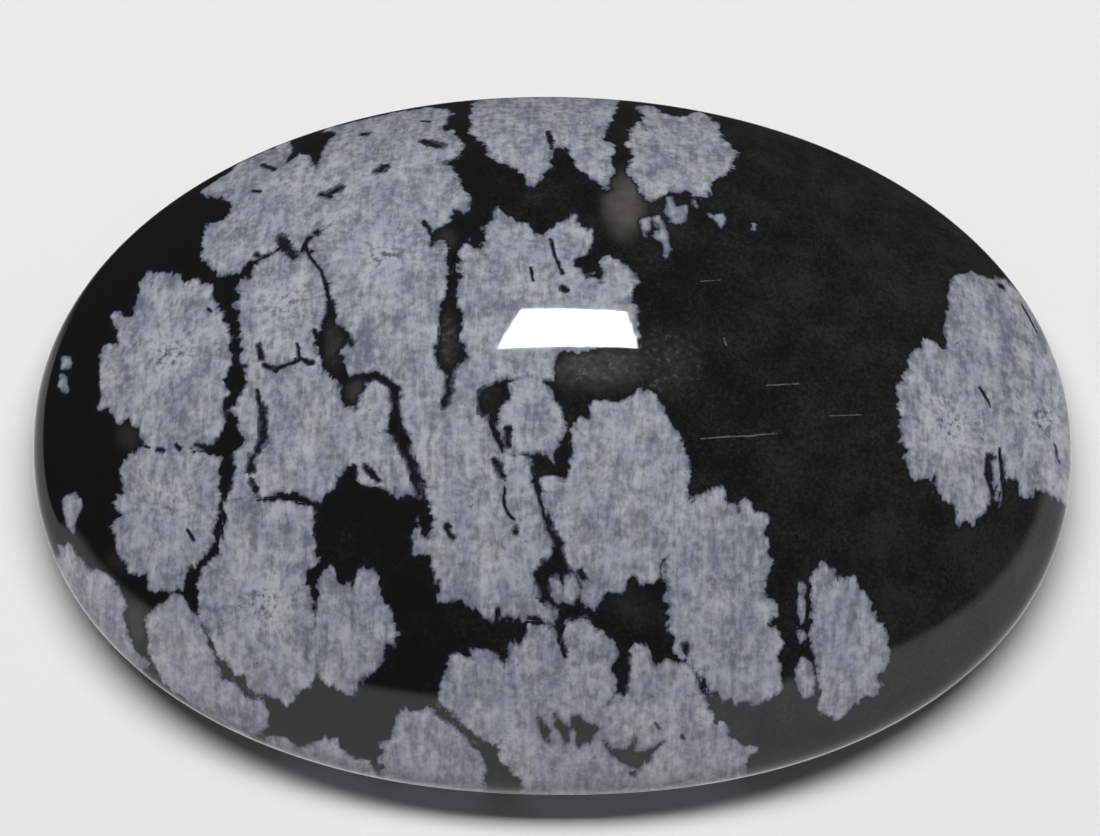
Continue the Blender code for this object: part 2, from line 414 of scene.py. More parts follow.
# Dark cracks and gaps through the flakes: half width, then the points they run through, in pixels
cracks = [
    [3, (262, 165), (274, 169)], [2.2, (252, 191), (260, 192)], [3, (322, 194), (331, 196)],
    [4.5, (329, 194), (339, 188)], [5, (379, 171), (384, 167)], [3, (362, 134), (368, 134)],
    [5, (424, 141), (441, 146)], [1.8, (422, 121), (430, 122)], [2, (424, 223), (431, 232)],
    [3, (257, 255), (260, 256)], [3.5, (247, 272), (249, 276)],
    [5, (281, 238), (287, 247), (294, 256)], [3, (315, 232), (318, 233)],
    [1.4, (306, 246), (310, 257), (320, 270), (327, 288), (330, 303)], [3, (330, 303), (331, 320)],
    [6, (331, 340), (332, 364)], [3, (350, 340), (352, 344)], [2.4, (265, 365), (276, 370), (288, 364)],
    [2.2, (288, 364), (300, 359), (312, 363)], [1.4, (297, 344), (299, 358)], [2.6, (258, 346), (261, 358)],
    [2, (314, 330), (317, 337)], [2, (257, 390), (260, 408)], [4.2, (262, 408), (264, 425), (261, 442)],
    [3, (261, 442), (254, 456)], [4, (252, 458), (251, 470)], [2.6, (251, 482), (256, 490)],
    [2.6, (366, 467), (379, 479)], [1.6, (278, 494), (292, 498), (308, 501)],
    [2.6, (375, 376), (392, 385), (396, 405), (394, 425)], [4.5, (394, 425), (403, 445), (413, 470), (420, 495)],
    [3.5, (450, 372), (449, 390), (445, 405)], [6, (447, 328), (449, 360)], [9, (488, 396), (487, 408)],
    [1.6, (490, 422), (497, 438), (503, 452)], [3, (508, 430), (507, 444)], [3, (495, 462), (502, 474)],
    [1.3, (505, 488), (504, 503), (508, 513), (514, 520)], [2.4, (516, 528), (515, 532)],
    [1.5, (533, 468), (537, 486), (541, 503), (548, 527)], [3.5, (549, 524), (556, 540), (561, 556), (566, 572)],
    [4, (545, 565), (541, 580), (543, 598)], [3, (581, 572), (583, 578)],
    [2.4, (447, 526), (452, 537)], [1.5, (188, 530), (194, 540)], [1.5, (208, 309), (211, 311)],
    [1.4, (145, 446), (150, 447)], [2, (158, 450), (163, 451)], [1.8, (177, 445), (180, 449)],
    [2.6, (197, 445), (207, 449), (218, 452)],
    [4, (623, 640), (625, 668), (622, 690)], [1.6, (660, 744), (648, 755)], [2.5, (548, 132), (552, 148)],
    [1.6, (550, 240), (556, 257), (562, 273)], [1.2, (531, 268), (533, 281)],
    [2.4, (563, 288), (565, 290)], [2, (546, 381), (549, 384)],
    [2, (988, 455), (986, 475), (993, 495)], [2, (1000, 450), (1003, 500)], [4, (1000, 285), (1003, 287)],
    [1.5, (1022, 305), (1037, 332)], [1.5, (980, 388), (990, 405)], [1.5, (1054, 445), (1059, 462)],
    [2, (557, 622), (560, 640), (565, 655)], [3, (685, 646), (687, 651)], [3.5, (438, 712), (455, 722), (478, 742)],
    [5, (490, 750), (500, 786)], [1.5, (656, 724), (659, 727)], [1.5, (682, 736), (684, 738)],
]

# Gaps of glass inside the lower flakes: outlines in pixels
gaps = {
    "slotLeft": [(536, 715), (542, 717), (547, 728), (551, 743), (546, 742), (540, 730)],
    "slotMiddle": [(550, 710), (556, 711), (562, 721), (569, 729), (571, 742), (565, 745), (561, 733), (554, 725)],
    "slotRight": [(572, 715), (580, 713), (585, 722), (592, 725), (600, 729), (594, 736), (590, 744), (583, 739),
                  (580, 750), (574, 743), (577, 732), (570, 724)],
    "fork": [(603, 740), (613, 748), (626, 751), (631, 742), (635, 733), (638, 741), (635, 752), (647, 750),
             (664, 741), (655, 752), (645, 761), (640, 769), (631, 768), (621, 762), (609, 756)],
    "star": [(286, 163), (291, 153), (300, 147), (296, 141), (312, 136), (330, 131), (337, 134), (327, 141),
             (324, 148), (320, 157), (317, 169), (312, 162), (309, 154), (303, 150), (297, 156)],
}

# Fine scratches in the polish, seen in the dark glass: half width, then points in pixels
scratches = [
    [0.7, (700, 439), (724, 437), (752, 436)], [0.6, (755, 435), (777, 434)], [0.6, (766, 385), (800, 384)],
    [0.5, (828, 416), (862, 415)], [0.8, (724, 338), (727, 346)], [0.4, (700, 281), (722, 280)],
]

# Smoky veils in the glass: middle, half width and half height in pixels, strength and how speckled. The pale specks
# are partly the glass's own grain. Beside the mirrored light they are painted glint, standing in for fine polish
# scratches catching the light.
veils = [
    [(625, 205), 26, 40, 0.9, 0.0], [(130, 435), 20, 22, 0.30, 0.3], [(356, 392), 15, 19, 0.4, 0.3],
    [(135, 625), 16, 30, 0.4, 0.3], [(630, 605), 38, 24, 0.20, 0.3], [(598, 366), 68, 30, 0.55, 1.0],
    [(668, 365), 42, 44, 0.30, 1.0], [(625, 755), 30, 18, 0.3, 0.3], [(448, 340), 16, 32, 0.4, 0.8],
    [(334, 345), 14, 34, 0.35, 0.6], [(445, 240), 18, 18, 0.30, 0.4], [(488, 402), 20, 24, 0.2, 0.6],
    [(120, 560), 18, 18, 0.25, 0.2], [(660, 215), 40, 30, 0.25, 0.2],
]

veilFade = (0.2, 1.3)  # where a veil begins to fade and is gone, in shares of its half size

# The hidden back has its own flakes, set out by chance. Sizes are in millimetres.
backFlakes = {
    "seed": 12,
    "count": 26,
    "size": (0.9, 2.5),
    "lobes": 7,  # waves round each outline
    "wave": (0.03, 0.10),  # their height as a share of the flake's size
    "seam": 0.09,  # over which two flakes that touch grow together
    "begin": 0.3,  # how far inside the rim of the back they begin to show
    "fold": 1.5,  # over what width they come in and the upper flakes that run under go out
}

# How the drawing is laid on the stone, in millimetres unless pixels are named
laying = {
    "faraway": -3.0,  # depth given to what lies far outside every flake
    "flakeLayers": 6,
    "crackSets": 4,
    "lineReach": 0.15,  # beside a crack or scratch over which its offset counts
    "lineFar": 40.0,  # offset given to what lies beyond, in half widths
    "pixelsPerMm": 35.0,  # at the stone's middle
    "nearest": 4,  # seen vertices that a pixel's place is the mean of
    "softening": 0.01,  # square pixels added to a squared distance before it is divided by
    "rimGap": 4.0,  # pixels from the nearest seen vertex past which a point lies beyond the rim
    "backLevel": 0.02,  # vertices no higher than this are never seen
    "flatLevel": 0.35,  # vertices lower than this share of the edge's radius count as the back
}


def signedDistance(points, outline):
    # distance to the nearest side of a closed outline, positive inside. A point is inside where a
    # line from it to the right crosses the outline an odd number of times.
    low, high = outline.min(axis=0) + laying["faraway"] / 2, outline.max(axis=0) - laying["faraway"] / 2
    near = np.all((points > low) & (points < high), axis=1)
    result = np.full(len(points), laying["faraway"])
    spot = points[near][:, None, :]
    start, end = outline[None], np.roll(outline, -1, axis=0)[None]
    side = end - start
    along = np.clip(np.sum((spot - start) * side, -1) / np.sum(side * side, -1), 0, 1)
    gap = np.linalg.norm(spot - start - along[..., None] * side, axis=-1).min(axis=1)
    spans = (start[..., 1] > spot[..., 1]) != (end[..., 1] > spot[..., 1])
    rise = np.where(side[..., 1] == 0, tiny, side[..., 1])
    crossing = start[..., 0] + (spot[..., 1] - start[..., 1]) * side[..., 0] / rise
    inside = (np.sum(spans & (spot[..., 0] < crossing), axis=1) % 2) == 1
    result[near] = np.where(inside, gap, -gap)
    return result


def lineOffset(points, line):
    # offset from the nearest place on the nearest of a line's stretches
    start, end = line[None, :-1], line[None, 1:]
    side = end - start
    spot = points[:, None, :]
    along = np.clip(np.sum((spot - start) * side, -1) / np.maximum(np.sum(side * side, -1), tiny), 0, 1)
    offset = spot - start - along[..., None] * side
    nearest = np.linalg.norm(offset, axis=-1).argmin(axis=1)
    return offset[np.arange(len(points)), nearest]


def growTogether(first, second):
    # smooth maximum: the mean plus half the root of the squared difference and the seam squared
    return (first + second + np.sqrt((first - second) ** 2 + backFlakes["seam"] ** 2)) / 2


def onSkin(pixels, seenPixels, seenSkins):
    # where pixels of the photograph fall on the unrolled skin: the mean of the nearest seen vertices,
    # weighted by inverse square distance. Beyond the rim it goes on straight outwards.
    count = laying["nearest"]
    distances = np.linalg.norm(seenPixels[None] - pixels[:, None], axis=-1)
    nearest = np.argpartition(distances, count, axis=1)[:, :count]
    gap = np.take_along_axis(distances, nearest, axis=1)
    weight = 1 / (gap**2 + laying["softening"])
    place = np.sum(seenSkins[nearest] * weight[..., None], axis=1) / weight.sum(axis=1)[:, None]
    beyond = np.maximum(gap.min(axis=1) - laying["rimGap"], 0) / laying["pixelsPerMm"]
    outward = place / np.linalg.norm(place, axis=1)[:, None]
    return place + outward * beyond[:, None]


def backPattern(points):
    # flakes of the hidden back: radius minus distance, the radius waving with the angle in lobes
    draw = np.random.default_rng(backFlakes["seed"])
    depth = np.full(len(points), laying["faraway"])
    heart = np.zeros((len(points), 2))
    for _ in range(backFlakes["count"]):
        turn, spread = draw.uniform(0, 2 * pi), sqrt(draw.uniform(0, 1))
        middle = np.array([cos(turn) * stone["halfLength"], sin(turn) * stone["halfWidth"]]) * spread
        size = draw.uniform(*backFlakes["size"])
        offset = points - middle
        angle = np.arctan2(offset[:, 1], offset[:, 0])
        wave = sum(draw.uniform(*backFlakes["wave"]) * np.sin(k * angle + draw.uniform(0, 2 * pi))
                   for k in range(2, 2 + backFlakes["lobes"]))
        own = np.maximum(size * (1 + wave) - np.linalg.norm(offset, axis=1), laying["faraway"])
        heart = np.where((own > depth)[:, None], offset, heart)
        depth = growTogether(depth, own)
    return depth, heart


def smoothStep(low, high, value):
    # three times the squared share of the way from low to high, less twice its cube
    share = np.clip((value - low) / (high - low), 0, 1)
    return share * share * (3 - 2 * share)


def lineLayers(skins, lines, count, seenPixels, seenSkins):
    # per layer and vertex: the offset from the nearest line in that line's half widths, or far away.
    # Each line goes to the layer where fewest vertices beside it are taken.
    layers = np.full((count, len(skins), 3), laying["lineFar"])
    for width, *line in lines:
        halfWidth = width / laying["pixelsPerMm"]
        offset = lineOffset(skins, onSkin(np.array(line, float), seenPixels, seenSkins))
        near = np.linalg.norm(offset, axis=1) < halfWidth + laying["lineReach"]
        chosen = layers[np.sum(layers[:, near, 2] == 0, axis=1).argmin()]
        ratio = np.linalg.norm(offset, axis=1) / halfWidth
        closer = near & (ratio < np.linalg.norm(chosen, axis=1))
        chosen[closer] = np.column_stack([offset / halfWidth, np.zeros(len(offset))])[closer]
    return layers


def paintFlakes(piece, skins):
    # per vertex: how deep inside a flake it lies (millimetres, negative outside), the offset from
    # that flake's heart, the offset from the nearest crack in the crack's half widths, and how smoky
    # the glass is. Flakes that lie close together go to different layers, and so do cracks, so that
    # each value runs evenly from vertex to vertex across its own border.
    mesh = piece.data
    points = readVectors(mesh, "vertices", "co") / mm
    normals = readVectors(mesh, "vertex_normals", "vector")
    eye = cameraAxes()[3]
    seen = (np.sum(normals * (eye - points), axis=1) > 0) & (points[:, 2] > laying["backLevel"])
    pixels = photoPixels(points)
    seenPixels, seenSkins = pixels[seen], skins[seen]

    faraway = laying["faraway"]
    layers = np.full((len(points), laying["flakeLayers"]), faraway)
    best = np.full(len(points), faraway * 2)
    heart = np.zeros((len(points), 2))
    shows = np.zeros(len(points))
    for name, (centre, outline) in flakes.items():
        own = signedDistance(skins, onSkin(np.array(outline, float), seenPixels, seenSkins))
        middle = onSkin(np.array([centre], float), seenPixels, seenSkins)
        closer = own > best
        heart[closer] = (skins - middle)[closer]
        shows[closer] = heartShows.get(name, 0.0)
        best = np.maximum(best, own)
        roomiest = np.minimum(layers, own[:, None]).max(axis=0).argmin()
        layers[:, roomiest] = np.maximum(layers[:, roomiest], own)

    openings = lineLayers(skins, cracks, laying["crackSets"], seenPixels, seenSkins)
    scores = lineLayers(skins, scratches, 1, seenPixels, seenSkins)

    opened = np.full(len(points), faraway)
    for outline in gaps.values():
        own = signedDistance(skins, onSkin(np.array(outline, float), seenPixels, seenSkins))
        opened = np.maximum(opened, own)

    # how speckled each place is; beside the mirrored light these specks are painted glint
    smoke, speckle = np.zeros(len(points)), np.zeros(len(points))
    for middle, wide, high, strength, speckled in veils:
        spread = np.hypot((pixels[:, 0] - middle[0]) / wide, (pixels[:, 1] - middle[1]) / high)
        fade = (1 - smoothStep(*veilFade, spread)) * seen
        smoke = np.maximum(smoke, strength * fade)
        speckle = np.maximum(speckle, speckled * fade)

    flat = points[:, 2] < stone["edgeRadius"] * laying["flatLevel"]
    reach = np.linalg.norm(points[:, :2] / [stone["halfLength"], stone["halfWidth"]], axis=1)
    inward = np.where(flat, (1 - reach) * stone["halfWidth"], 0)
    share = smoothStep(backFlakes["begin"], backFlakes["begin"] + backFlakes["fold"], inward)
    backDepth, backHeart = backPattern(points[:, :2])
    layers = layers + faraway * share[:, None]
    layers[:, 0] = np.maximum(layers[:, 0], backDepth + faraway * (1 - share))
    heart = np.where((share > 0.5)[:, None], backHeart, heart)

    writeAttribute(mesh, "flakesOne", "FLOAT_VECTOR", layers[:, :3])
    writeAttribute(mesh, "flakesTwo", "FLOAT_VECTOR", layers[:, 3:])
    for index, opening in enumerate(openings):
        writeAttribute(mesh, "cracks" + str(index), "FLOAT_VECTOR", opening)
    writeAttribute(mesh, "scratches", "FLOAT_VECTOR", scores[0])
    writeAttribute(mesh, "heartOffset", "FLOAT_VECTOR", np.column_stack([heart, np.zeros(len(heart))]))
    writeAttribute(mesh, "veilAndGap", "FLOAT_VECTOR", np.column_stack([smoke, speckle, opened]))
    writeAttribute(mesh, "heartShows", "FLOAT", shows)


def writeAttribute(mesh, name, kind, values):
    layer = mesh.attributes.new(name, kind, "POINT")
    layer.data.foreach_set("value" if kind == "FLOAT" else "vector", values.astype(np.float32).ravel())


class Wire:
    # one socket of a node tree. + - * between wires and numbers add Math nodes.
    def __init__(self, tree, socket=None):
        self.tree, self.socket = tree, socket

    def node(self, kind, settings=None, inputs=None, output=0):
        # any node: its settings first, then a value or a wire for each input
        made = self.tree.nodes.new(kind)
        for name, value in (settings or {}).items():
            setattr(made, name, value)
        for name, value in (inputs or {}).items():
            if isinstance(value, Wire):
                self.tree.links.new(value.socket, made.inputs[name])
            else:
                made.inputs[name].default_value = value
        return Wire(self.tree, made.outputs[output])

    def maths(self, operation, *values):
        return self.node("ShaderNodeMath", {"operation": operation}, dict(enumerate(values)))

    def __add__(self, other):
        return self.maths("ADD", self, other)

    def __radd__(self, other):
        return self.maths("ADD", other, self)

    def __sub__(self, other):
        return self.maths("SUBTRACT", self, other)

    def __rsub__(self, other):
        return self.maths("SUBTRACT", other, self)

    def __mul__(self, other):
        return self.maths("MULTIPLY", self, other)

    def __rmul__(self, other):
        return self.maths("MULTIPLY", other, self)

    def attribute(self, name, output):
        return self.node("ShaderNodeAttribute", {"attribute_name": name}, None, output)

    def part(self, axis):
        return self.node("ShaderNodeSeparateXYZ", None, {0: self}, axis)

    def length(self):
        return self.node("ShaderNodeVectorMath", {"operation": "LENGTH"}, {0: self}, 1)

    def step(self, low, high):
        # smooth step from 0 at low to 1 at high
        return self.node("ShaderNodeMapRange", {"interpolation_type": "SMOOTHSTEP"},
                         {0: self, 1: low, 2: high, 3: 0.0, 4: 1.0})

    def mix(self, first, second):
        # the first colour where this value is 0, the second where it is 1
        return self.node("ShaderNodeMix", {"data_type": "RGBA"}, {0: self, 6: first, 7: second}, 2)

    def scaled(self, size):
        # a vector times a number or a triple
        size = (size, size, size) if isinstance(size, (int, float)) else size
        return self.node("ShaderNodeVectorMath", {"operation": "MULTIPLY"}, {0: self, 1: size})

    def shifted(self, amount):
        return self.node("ShaderNodeVectorMath", {"operation": "ADD"}, {0: self, 1: (amount, amount, amount)})

    def plus(self, size, other, otherSize):
        # this vector times one number plus another vector times a second
        return self.node("ShaderNodeVectorMath", {"operation": "ADD"},
                         {0: self.scaled(size), 1: other.scaled(otherSize)})

    def noise(self, scale, detail, rough, warp=0.0, squeeze=(1.0, 1.0, 1.0)):
        # cloudy noise of mean 0, about -0.5 to 0.5, with this many cells to each unit of the vector,
        # which is first multiplied by the squeeze
        values = {"Vector": self.scaled(squeeze), "Scale": scale, "Detail": detail, "Roughness": rough,
                  "Distortion": warp}
        return self.node("ShaderNodeTexNoise", {"noise_dimensions": "3D"}, values) - 0.5


def grey(level):
    # linear value of a level from 0 to 255 of the picture, by the curve that sRGB pictures use
    share = level / 255
    return share / 12.92 if share < 0.04045 else ((share + 0.055) / 1.055) ** 2.4


def colour(red, green, blue, gain=1.0):
    return (grey(red) * gain, grey(green) * gain, grey(blue) * gain, 1.0)


obsidian = {
    "gain": 0.95,  # picture level to base colour, for the light that falls on the stone
    "glassRoughness": 0.03,
    "flakeRoughness": 0.045,
    "ior": 1.5,
    "bump": {"Strength": 0.10, "Distance": 0.00002},  # unevenness of the polish; metres
    "tones": {
        "glass": (20, 20, 20),
        "glassBrown": (44, 44, 41),
        "smoke": (82, 81, 77),
        # pale specks in the veils: the glass's own grain, and beside the mirrored light painted glint
        "specksAndGlint": (92, 92, 88),
        "scratch": (98, 98, 98),
        "fringe": (25, 28, 35),  # the bluish shade just outside a flake
        "flakeEdge": (108, 113, 128),
        "lilacDeep": (103, 107, 124),
        "lilacPale": (164, 168, 183),
        "greyDeep": (112, 116, 123),
        "greyPale": (180, 184, 188),
        "core": (84, 86, 90),
    },
    # cells to the millimetre, detail, roughness, distortion, and the squeeze along each axis
    "noises": {
        "streaks": (1.0, 3.0, 0.6, 0.5, (4.6, 1.0, 1.0)),
        "threads": (1.0, 2.0, 0.6, 0.5, (9.0, 1.8, 1.8)),
        "mottle": (4.5, 3.0, 0.65),
        "cloud": (1.1, 3.0, 0.6),
        "fray": (2.3, 3.0, 0.6),
        "crackFray": (3.2, 2.0, 0.6),
        "specks": (4.2, 3.0, 0.65),
        "granules": (5.5, 2.0, 0.6),
        "hue": (1.0, 3.0, 0.6, 0.0, (1.5, 0.8, 0.8)),
        "dust": (9.0, 3.0, 0.7),
        "drift": (0.8, 3.0, 0.6),
        "smoke": (2.0, 2.0, 0.5),
        "relief": (1.3, 2.0, 0.5),
    },
    # crystals growing out from a heart: cells round it, cells outwards, detail and roughness
    "spokes": {"rays": (4.0, 0.8, 3.0, 0.6), "teeth": (7.5, 1.3, 2.0, 0.6)},
    # how much of each noise goes into a sum
    "sums": {
        "ragged": {"fray": 0.42, "streaks": 0.20, "mottle": 0.12},
        "crack": {"crackFray": 1.6, "mottle": 0.8},
        "light": {"streaks": 1.2, "threads": 0.3, "cloud": 1.1, "mottle": 1.3},
        "dust": {"dust": 1.0, "drift": 0.8},
    },
    # soft steps: where each begins and where it is whole
    "steps": {
        "teeth": (0.5, 1.8),  # millimetres from the heart
        "flake": (-0.045, 0.05),  # millimetres inside the ragged outline
        "crack": (0.4, 2.1),  # half widths from the crack's middle
        "specks": (0.17, 0.26),
        "specksInside": (0.03, 0.20),
        "pale": (0.25, 1.35),  # millimetres from a heart that shows
        "light": (-0.5, 0.5),
        "hue": (-0.18, 0.18),
        "edgeShade": (0.0, 0.16),
        "crackShade": (1.0, 2.5),
        "core": (0.28, 0.52),
        "coreGrains": (-0.02, 0.14),
        "brown": (-0.1, 0.5),
        "smoke": (0.0, 1.0),
        "specksAndGlint": (0.0, 0.32),
        "sparkGaps": (-0.02, 0.38),
        "scratch": (0.5, 1.8),
        "scratchShows": (0.0, 1.0),
        "fringe": (-0.18, 0.0),
    },
    # single amounts, and pairs of an amount that varies and one that doesn't
    "waver": (4.5, 2.0, 3.0),  # cells, detail, and how far the cracks waver in their half widths
    "scratchWaver": 0.3,
    "teeth": 0.55,
    "gapFray": 0.6,
    "specks": 0.6,
    "spokeLight": (0.35, 0.25),
    "granuleLight": (2.0, 0.25),
    "core": 0.8,
    "brownEast": 0.018,  # how much browner the glass is for each millimetre to the right
    "scratchLight": (2.0, 0.7),
    "relief": (0.5, 0.08),  # of the polish's own waves and of the threads in the flakes
}


def obsidianMaterial():
    material = bpy.data.materials.new("snowflake obsidian")
    material.use_nodes = True
    tree = material.node_tree
    shader = tree.nodes["Principled BSDF"]
    tone = {name: colour(*value, obsidian["gain"]) for name, value in obsidian["tones"].items()}
    steps = obsidian["steps"]
    start = Wire(tree)
    place = start.node("ShaderNodeTexCoord", output=3).scaled(1 / mm)  # object coordinates, millimetres
    layers = [start.attribute(name, 1).part(axis) for name in ("flakesOne", "flakesTwo") for axis in range(3)]
    depth = layers[0]
    for layer in layers[1:]:
        depth = depth.maths("MAXIMUM", depth, layer)
    # the cracks waver: noise is added to the offset from each before its length is taken
    cells, detail, far = obsidian["waver"]
    waver = place.node("ShaderNodeTexNoise", None, {"Vector": place, "Scale": cells, "Detail": detail}, 1)
    waver = waver.shifted(-0.5).scaled((far, far, 0.0))
    crack = None
    for index in range(laying["crackSets"]):
        length = start.attribute("cracks" + str(index), 1).plus(1.0, waver, 1.0).length()
        crack = length if crack is None else crack.maths("MINIMUM", crack, length)
    heart = start.attribute("heartOffset", 1)
    veil = start.attribute("veilAndGap", 1)
    smoke, speckle, gap = veil.part(0), veil.part(1), veil.part(2)
    visible = start.attribute("heartShows", 2)

    away = heart.length()
    spoke = heart.node("ShaderNodeVectorMath", {"operation": "NORMALIZE"}, {0: heart})
    outward = away.node("ShaderNodeCombineXYZ", None, {2: away})
    grain = {name: place.noise(*values) for name, values in obsidian["noises"].items()}
    # crystals growing out from the heart: noise along the direction from it and the distance
    for name, (around, along, detail, rough) in obsidian["spokes"].items():
        grain[name] = spoke.plus(around, outward, along).noise(1.0, detail, rough)

    def total(name):
        # the sum of the noises named, each times its amount
        parts = [grain[source] * amount for source, amount in obsidian["sums"][name].items()]
        return sum(parts[1:], parts[0])

    # feathery outline: the drawn outline pushed in and out by noise at several sizes and by the teeth
    ragged = total("ragged")
    edge = depth + ragged + grain["teeth"] * away.step(*steps["teeth"]) * obsidian["teeth"]
    edge = edge.maths("MINIMUM", edge, ragged * obsidian["gapFray"] - gap)
    crack = crack + total("crack")
    flake = edge.step(*steps["flake"]) * crack.step(*steps["crack"])
    specks = grain["specks"].step(*steps["specks"]) * edge.step(*steps["specksInside"])
    body = flake * (1 - specks * obsidian["specks"])

    # the flake's own shades: streaks along the width, rays, clouds, granules round a visible heart
    atHeart, everywhere = obsidian["spokeLight"]
    light = total("light") + (grain["rays"] + grain["teeth"]) * (visible * atHeart + everywhere)
    varied, even = obsidian["granuleLight"]
    near = visible * (1 - away.step(*steps["pale"]))
    light = (light + near * (grain["granules"] * varied + even)).step(*steps["light"])
    shades = [light.mix(tone[name + "Deep"], tone[name + "Pale"]) for name in ("lilac", "grey")]
    shade = grain["hue"].step(*steps["hue"]).mix(*shades)
    shade = (edge.step(*steps["edgeShade"]) * crack.step(*steps["crackShade"])).mix(tone["flakeEdge"], shade)
    core = visible * (1 - away.step(*steps["core"])) * (grain["granules"] * -1).step(*steps["coreGrains"])
    shade = (core * obsidian["core"]).mix(shade, tone["core"])

    # the glass: black, here and there olive or smoky, with a bluish fringe beside the flakes
    dust = total("dust") + place.part(0) * obsidian["brownEast"]
    glass = dust.step(*steps["brown"]).mix(tone["glass"], tone["glassBrown"])
    glass = (smoke * (1 + grain["smoke"])).step(*steps["smoke"]).mix(glass, tone["smoke"])
    # pale specks in the speckled veils: partly the glass's own grain, partly painted glint of polish scratches
    # catching the light beside the mirrored light
    specksAndGlint = speckle * grain["granules"]
    glass = specksAndGlint.step(*steps["specksAndGlint"]).mix(glass, tone["specksAndGlint"])
    glass = (specksAndGlint * -1).step(*steps["sparkGaps"]).mix(glass, tone["glass"])
    scored = start.attribute("scratches", 1).plus(1.0, waver, obsidian["scratchWaver"]).length()
    varied, even = obsidian["scratchLight"]
    scored = (1 - scored.step(*steps["scratch"])) * (grain["mottle"] * varied + even)
    glass = scored.step(*steps["scratchShows"]).mix(glass, tone["scratch"])
    glass = edge.step(*steps["fringe"]).mix(glass, tone["fringe"])

    tree.links.new(body.mix(glass, shade).socket, shader.inputs["Base Color"])
    roughness = body * (obsidian["flakeRoughness"] - obsidian["glassRoughness"]) + obsidian["glassRoughness"]
    tree.links.new(roughness.socket, shader.inputs["Roughness"])
    waves, inFlakes = obsidian["relief"]
    relief = grain["relief"] * waves + grain["threads"] * body * inFlakes
    bump = start.node("ShaderNodeBump", None, {**obsidian["bump"], "Height": relief})
    tree.links.new(bump.socket, shader.inputs["Normal"])
    shader.inputs["IOR"].default_value = obsidian["ior"]
    return material


def plainMaterial(name, level, roughness):
    material = bpy.data.materials.new(name)
    material.use_nodes = True
    shader = material.node_tree.nodes["Principled BSDF"]
    shader.inputs["Base Color"].default_value = (level, level, level, 1.0)
    shader.inputs["Roughness"].default_value = roughness
    shader.inputs["Specular IOR Level"].default_value = 0.0
    return material


def glowMaterial(name, strength):
    material = bpy.data.materials.new(name)
    material.use_nodes = True
    tree = material.node_tree
    tree.nodes.clear()
    glow = tree.nodes.new("ShaderNodeEmission")
    out = tree.nodes.new("ShaderNodeOutputMaterial")
    tree.links.new(glow.outputs[0], out.inputs["Surface"])
    glow.inputs["Strength"].default_value = strength
    return material, tree, glow


studio = {
    "floorLevel": 0.80,
    "floorRoughness": 0.9,
    "floorHalf": 600.0,  # millimetres
    "skyStrength": 0.07,
    "skyColour": (1.0, 1.0, 1.0),
    # broad lights that the polish doesn't mirror: half width, half depth, place and glow
    "stonePanel": (330.0, 120.0, (0.0, 145.0, 765.0), 13.4),
    "floorPanel": (560.0, 110.0, (0.0, 370.0, 600.0), 9.9),
    "boxHeight": 420.0,
    "boxGlow": 40.0,  # the window-like light mirrored near the crown
    "boxCorners": [(521, 310), (626, 312), (640, 348), (496, 348)],  # where the stone mirrors its corners
    "boxAbove": 0.4,  # share of the stone's height above which that place is looked for
    "cardRadius": 800.0,
    "cardSteps": (64, 32),  # cells round the card's sphere and from pole to pole
    "cardGlow": 0.88,
    "cardPale": (1.0, 1.0, 1.0, 1.0),
    "cardDark": (0.035, 0.035, 0.035, 1.0),
    "cardTilt": 23.0,  # degrees the card's upper edge is tilted away from the camera
    "cardEdge": 0.11,  # how far above the tilted plane the card reaches in front of the stone
    "cardFlare": 0.16,  # how much more at its sides
    "cardDip": 0.12,  # how much less behind the stone on the left
    "cardDipSoft": (0.0, 0.2),
    "cardSoft": 0.02,
    "cardEnds": (0.52, 0.72),  # how far round behind the stone it goes
}


def addFloor():
    half = studio["floorHalf"]
    points = np.array([(-half, -half, 0), (half, -half, 0), (half, half, 0), (-half, half, 0)], float)
    floor = addMesh("floor", points, np.array([[0, 1, 2, 3]]))
    floor.data.materials.append(plainMaterial("white card", studio["floorLevel"], studio["floorRoughness"]))
    floor.visible_glossy = False
    return floor


def addSoftbox(piece):
    # each corner lies where the view ray, mirrored by the stone at that pixel, meets the box's level
    points = readVectors(piece.data, "vertices", "co") / mm
    normals = readVectors(piece.data, "vertex_normals", "vector")
    top = points[:, 2] > stone["height"] * studio["boxAbove"]
    points, normals = points[top], normals[top]
    pixels = photoPixels(points)
    eye = cameraAxes()[3]
    corners = []
    for corner in studio["boxCorners"]:
        nearest = np.argmin(np.linalg.norm(pixels - corner, axis=1))
        spot, normal = points[nearest], normals[nearest]
        ray = (spot - eye) / np.linalg.norm(spot - eye)
        mirrored = ray - 2 * (ray @ normal) * normal
        corners.append(spot + mirrored * (studio["boxHeight"] - spot[2]) / mirrored[2])
    corners = np.array(corners)
    print("softbox corners, mm:", corners.round(0).tolist())
    box = addMesh("softbox", corners, np.array([[3, 2, 1, 0]]))
    material, _, _ = glowMaterial("softbox glow", studio["boxGlow"])
    box.data.materials.append(material)
    box.visible_camera = box.visible_diffuse = box.visible_shadow = False


def addPanel(name, lit):
    # a rectangle with level long sides, square to the line from its place to the stone: its sides run
    # along the cross products of that line with the vertical and with the first side. It lights one
    # thing only.
    wide, deep, place, glow = studio[name]
    place = np.array(place)
    along = np.cross(place, (0.0, 0.0, 1.0))
    across = np.cross(place, along)
    along, across = wide * along / np.linalg.norm(along), deep * across / np.linalg.norm(across)
    corners = np.array([place - along - across, place - along + across, place + along + across,
                        place + along - across])
    panel = addMesh(name, corners, np.array([[0, 1, 2, 3]]))
    material, _, _ = glowMaterial(name + " glow", glow)
    panel.data.materials.append(material)
    panel.visible_camera = panel.visible_glossy = panel.visible_shadow = False
    group = bpy.data.collections.new(name + " lights")
    group.objects.link(lit)
    panel.light_linking.receiver_collection = group


